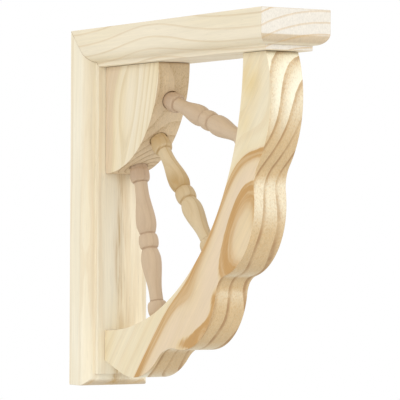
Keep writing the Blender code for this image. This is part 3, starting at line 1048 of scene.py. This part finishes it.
class CORBEL_OT_scalloped_brace(bpy.types.Operator):
    """Adds the curved brace with its scalloped outer edge, drilled for the spindles"""

    bl_idname = "corbel.scalloped_brace"
    bl_label = "Scalloped Brace"

    def execute(self, context):
        boards, sawn = context.scene.corbel_boards, context.scene.corbel_sawn
        colours = context.scene.corbel_colours
        outline = outer_edge(boards, sawn) + inner_edge(boards, sawn)
        wood = Wood(colours.brace_sap, colours.brace_heart, colours.brace_tint, colours.brace_band,
                    colours.brace_cut, colours.brace_end, 1.0, 0.80, 0.25, sawn=1.0,
                    square=(0.25, 0.68), season=0.34)
        swells = (
            Swell(0.0231, 0.2382, 0.0792, -0.0098),
            Swell(0.0194, 0.3581, 0.0393, -0.0171),
            Swell(-0.0634, 0.2661, 0.0716, 0.0200),
            Swell(-0.0104, 0.1726, 0.0261, -0.0065),
            Swell(-0.0604, 0.2574, 0.0378, 0.0102),
            Swell(-0.0502, 0.1671, 0.0395, 0.0200),
            Swell(-0.0180, 0.1640, 0.0150, 0.0007),
            Swell(-0.0240, 0.1990, 0.0130, 0.0012),
        )
        rings = Rings(0.0101, 0.0515, 0.52, 0.0012, swells, 0.0520, 0.11, golden_within=0.0414)
        stem = Stem((0.0268, -0.0648, -0.2098), math.radians(41.46))
        stains = (Swell(0.052, 0.364, 0.015, 0.8), Swell(0.037, 0.333, 0.011, 0.4))
        add_sawn_piece("scalloped_brace", "brace_pine", outline, stem, rings, wood, stains)
        return {"FINISHED"}


def spindle_wood(plain, line, *strengths):
    """Wood of one colour all over, with darker lines and blotches of given strengths."""
    return Wood(plain, plain, line, line, plain, plain, *strengths, cut_end=0.3, roughness=0.56)


class CORBEL_OT_turned_spindles(bpy.types.Operator):
    """Adds the three turned spindles between the block and the brace"""

    bl_idname = "corbel.turned_spindles"
    bl_label = "Turned Spindles"

    def execute(self, context):
        boards, sawn = context.scene.corbel_boards, context.scene.corbel_sawn
        colours = context.scene.corbel_colours
        birch = spindle_wood(colours.birch, colours.birch_line, 0.14, 0.30, 0.14)
        tan = spindle_wood(colours.tan, colours.tan_line, 0.22, 0.40, 0.30)
        rings = Rings(0.0042, 0.0, 0.4, 0.004)
        for name, angles in SPINDLES.items():
            yellowish = name == "spindle_middle"
            wood = tan if yellowish else birch
            blotch = 1.0 if yellowish else 0.15
            top, foot = spindle_ends(boards, sawn, angles)
            run = top - foot
            lean = math.copysign(run.angle(Vector((0, 0, 1))), -run.y)
            stem = Stem(tuple(foot + Vector((0.014, 0, 0))), lean)
            stains = (Swell(0.0, run.length / 2 + 0.013, 0.011, blotch),)
            finish = wood_material(name + "_wood", stem, rings, wood, stains=stains, turned=True)
            spindle = turned_spindle(name + "_finished", top, foot, finish)
            take_place(spindle, name, finish)
        return {"FINISHED"}


def soft_sun(name, heading, strength, degrees):
    """An even light from one direction, softened over an angle."""
    data = bpy.data.lights.new(name, "SUN")
    data.energy = strength
    data.angle = math.radians(degrees)
    light = linked_object(name, data)
    light.rotation_mode = "QUATERNION"
    light.rotation_quaternion = Vector(heading).to_track_quat("Z", "Y")


def white_to_camera(graph, kind, plain):
    """Shows the camera a white of its own, while the scene's light meets the plain shader."""
    seen = graph.value(kind, {"Color": (1, 1, 1, 1), "Strength": 1.0})
    ray = graph.values("ShaderNodeLightPath")["Is Camera Ray"]
    inputs = {0: ray, 1: Value(graph, plain.outputs[0]), 2: seen}
    return graph.value("ShaderNodeMixShader", inputs)


class CORBEL_OT_stage(bpy.types.Operator):
    """Adds the plain pale floor, the soft light and the camera"""

    bl_idname = "corbel.stage"
    bl_label = "Stage"

    def execute(self, context):
        stage = context.scene.corbel_stage
        self.add_floor(stage)
        self.add_surroundings(context, stage)
        soft_sun("key_light", (0.08, -0.95, 0.30), stage.key_power, 16)
        soft_sun("fill_light", (-0.80, -0.45, 0.38), stage.fill_power, 24)
        self.add_camera(context, stage)
        context.scene.view_settings.view_transform = "Standard"
        return {"FINISHED"}

    @staticmethod
    def add_floor(stage):
        shell = bmesh.new()
        bmesh.ops.create_grid(shell, x_segments=1, y_segments=1, size=FLOOR_HALF)
        floor = mesh_from(shell, "floor")
        floor.data.transform(Matrix.Translation((0, 0, CAD_LOW.z - stage.floor_drop)))
        material = bpy.data.materials.new("pale_floor")
        material.use_nodes = True
        nodes = material.node_tree.nodes
        graph = Graph(material.node_tree)
        shader = nodes["Principled BSDF"]
        shader.inputs["Base Color"].default_value = (0.35, 0.35, 0.35, 1)
        shader.inputs["Roughness"].default_value = 0.9
        above = white_to_camera(graph, "ShaderNodeEmission", shader)
        beneath = graph.values("ShaderNodeNewGeometry")["Backfacing"]
        inputs = {0: beneath, 1: above, 2: graph.value("ShaderNodeBsdfTransparent")}
        surface = graph.value("ShaderNodeMixShader", inputs)
        graph.feed(nodes["Material Output"].inputs["Surface"], surface)
        floor.data.materials.append(material)
        floor.visible_diffuse = False
        floor.visible_glossy = False
        floor.visible_shadow = False

    @staticmethod
    def add_surroundings(context, stage):
        world = bpy.data.worlds.new("white_studio")
        context.scene.world = world
        world.use_nodes = True
        nodes = world.node_tree.nodes
        graph = Graph(world.node_tree)
        soft = nodes["Background"]
        soft.inputs["Color"].default_value = (1, 1, 1, 1)
        heading = graph.values("ShaderNodeTexCoord")["Generated"]
        rise = graph.values("ShaderNodeSeparateXYZ", {0: heading})["Z"]
        strength = graph.ramp(rise, -0.25, 0.25, stage.light_below, stage.light_above)
        graph.feed(soft.inputs["Strength"], strength)
        around = white_to_camera(graph, "ShaderNodeBackground", soft)
        graph.feed(nodes["World Output"].inputs["Surface"], around)

    @staticmethod
    def add_camera(context, stage):
        turn, rise = stage.azimuth, stage.elevation
        back = Vector((math.sin(turn) * math.cos(rise), -math.cos(turn) * math.cos(rise),
                       math.sin(rise)))
        data = bpy.data.cameras.new("camera")
        data.lens = stage.lens
        data.sensor_width = 36.0
        data.clip_end = 100.0
        camera = linked_object("camera", data)
        camera.location = Vector((0, -stage.target_out, stage.target_up)) + back * stage.distance
        camera.rotation_mode = "QUATERNION"
        level = (-back).to_track_quat("-Z", "Y")
        camera.rotation_quaternion = level @ Quaternion((0, 0, 1), stage.roll)
        context.scene.camera = camera


class CORBEL_PT_bracket(bpy.types.Panel):
    """Lists the pieces of the bracket and their settings"""

    bl_idname = "CORBEL_PT_bracket"
    bl_label = "Corbel Bracket"
    bl_space_type = "VIEW_3D"
    bl_region_type = "UI"
    bl_category = "Corbel"

    def draw(self, context):
        for operator in OPERATORS:
            self.layout.operator(operator.bl_idname)
        for pointer, group in SETTINGS.items():
            box = self.layout.box()
            box.label(text=group.__doc__)
            settings = getattr(context.scene, pointer)
            for key in group.__annotations__:
                box.prop(settings, key)


SETTINGS = {
    "corbel_boards": BoardSizes,
    "corbel_sawn": SawnSizes,
    "corbel_spindles": SpindleSizes,
    "corbel_colours": WoodColours,
    "corbel_stage": StageSettings,
}
OPERATORS = (
    CORBEL_OT_moulded_boards,
    CORBEL_OT_corner_block,
    CORBEL_OT_scalloped_brace,
    CORBEL_OT_turned_spindles,
    CORBEL_OT_stage,
)


def register():
    for pointer, group in SETTINGS.items():
        bpy.utils.register_class(group)
        setattr(bpy.types.Scene, pointer, PointerProperty(type=group))
    for operator in OPERATORS:
        bpy.utils.register_class(operator)
    bpy.utils.register_class(CORBEL_PT_bracket)


def unregister():
    bpy.utils.unregister_class(CORBEL_PT_bracket)
    for operator in reversed(OPERATORS):
        bpy.utils.unregister_class(operator)
    for pointer, group in SETTINGS.items():
        delattr(bpy.types.Scene, pointer)
        bpy.utils.unregister_class(group)


def main():
    register()
    bpy.ops.corbel.moulded_boards()
    bpy.ops.corbel.corner_block()
    bpy.ops.corbel.scalloped_brace()
    bpy.ops.corbel.turned_spindles()
    bpy.ops.corbel.stage()


if __name__ == "__main__":
    main()
